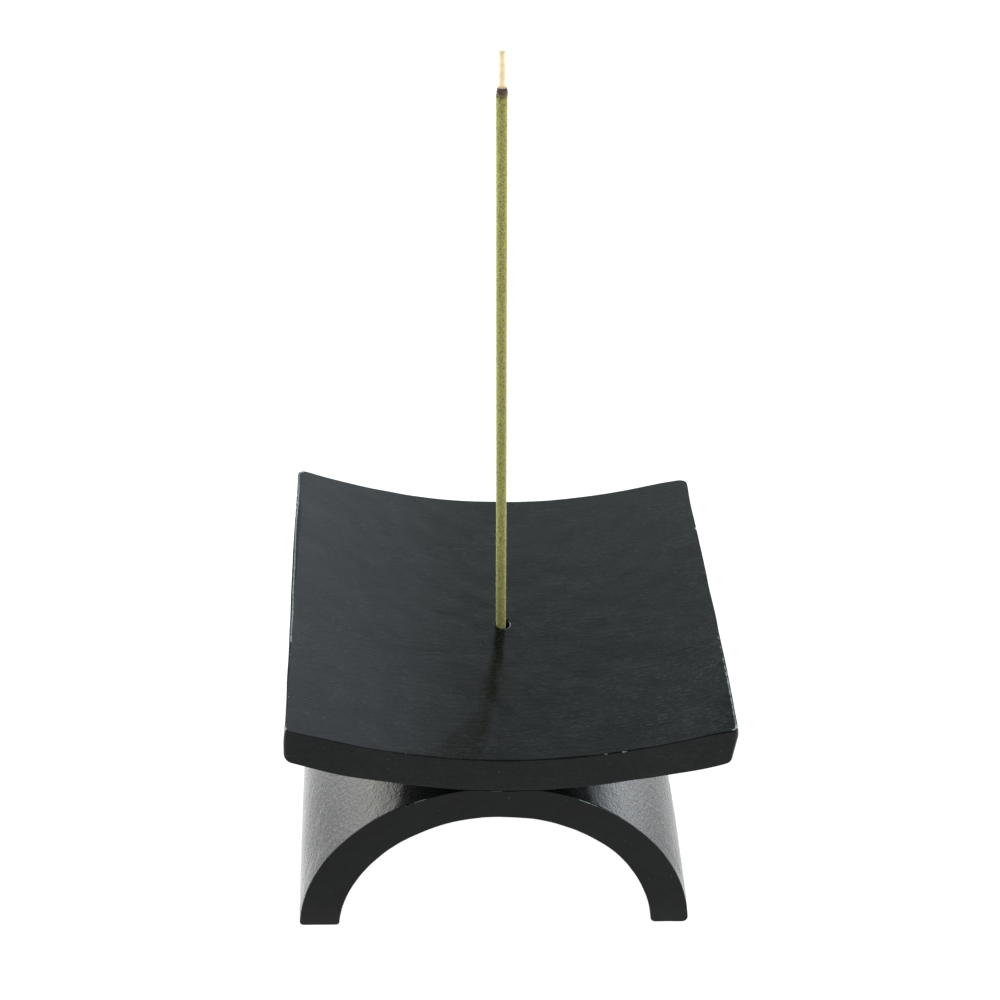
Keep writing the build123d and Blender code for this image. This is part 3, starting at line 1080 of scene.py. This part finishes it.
def make_stage(context):
    """Camera, floor, surround and softboxes."""
    stage = context.scene.burner_stage
    make_camera(stage)
    make_floor(stage)
    make_world(stage)
    for name, place, power in SOFTBOXES:
        make_softbox(name, place, power)
    context.scene.view_settings.view_transform = "Standard"


# ---------- Operators, panel and registration ----------


class BURNER_OT_stage(bpy.types.Operator):
    """Make the camera, floor and lights"""

    bl_idname = "incense_burner.stage"
    bl_label = "Stage"

    def execute(self, context):
        make_stage(context)
        return {"FINISHED"}


class BURNER_OT_dish(bpy.types.Operator):
    """Carve the troughed dish"""

    bl_idname = "incense_burner.dish"
    bl_label = "Dish"

    def execute(self, context):
        make_dish(context)
        return {"FINISHED"}


class BURNER_OT_arch(bpy.types.Operator):
    """Carve the arch that the dish stands on"""

    bl_idname = "incense_burner.arch"
    bl_label = "Arch stand"

    def execute(self, context):
        make_arch(context)
        return {"FINISHED"}


class BURNER_OT_bond(bpy.types.Operator):
    """Give the adhesive between the stones its look"""

    bl_idname = "incense_burner.bond"
    bl_label = "Adhesive bond"

    def execute(self, context):
        bond = frame["nodes"]["adhesive_bond"]
        if not bond.material_slots:
            raise RuntimeError("The adhesive bond has no material slot")
        for slot in bond.material_slots:
            slot.material = adhesive_material()
        return {"FINISHED"}


class BURNER_OT_paste(bpy.types.Operator):
    """Make the unburnt incense stick"""

    bl_idname = "incense_burner.paste"
    bl_label = "Incense stick"

    def execute(self, context):
        make_paste(context)
        return {"FINISHED"}


class BURNER_OT_burning_tip(bpy.types.Operator):
    """Make the char ring and the ash column"""

    bl_idname = "incense_burner.burning_tip"
    bl_label = "Char and ash"

    def execute(self, context):
        make_burning_tip(context)
        return {"FINISHED"}


OPERATORS = (
    BURNER_OT_stage,
    BURNER_OT_dish,
    BURNER_OT_arch,
    BURNER_OT_bond,
    BURNER_OT_paste,
    BURNER_OT_burning_tip,
)


class VIEW3D_PT_incense_burner(bpy.types.Panel):
    """Lists the pieces and their settings"""

    bl_label = "Incense burner"
    bl_space_type = "VIEW_3D"
    bl_region_type = "UI"
    bl_category = "Incense"

    def draw(self, context):
        for operator in OPERATORS:
            self.layout.operator(operator.bl_idname)
        for name, group in SETTINGS.items():
            box = self.layout.box()
            box.label(text=group.__doc__)
            for setting in group.__annotations__:
                box.prop(getattr(context.scene, name), setting)


CLASSES = (*SETTINGS.values(), *OPERATORS, VIEW3D_PT_incense_burner)


def register():
    """Makes the settings, operators and panel known."""
    for each in CLASSES:
        bpy.utils.register_class(each)
    for name, group in SETTINGS.items():
        setattr(bpy.types.Scene, name, PointerProperty(type=group))


def unregister():
    """Takes them away again."""
    for name in SETTINGS:
        delattr(bpy.types.Scene, name)
    for each in reversed(CLASSES):
        bpy.utils.unregister_class(each)


def main():
    """Builds everything in order."""
    register()
    for operator in OPERATORS:
        group, name = operator.bl_idname.split(".")
        getattr(getattr(bpy.ops, group), name)()


if __name__ == "__main__":
    main()
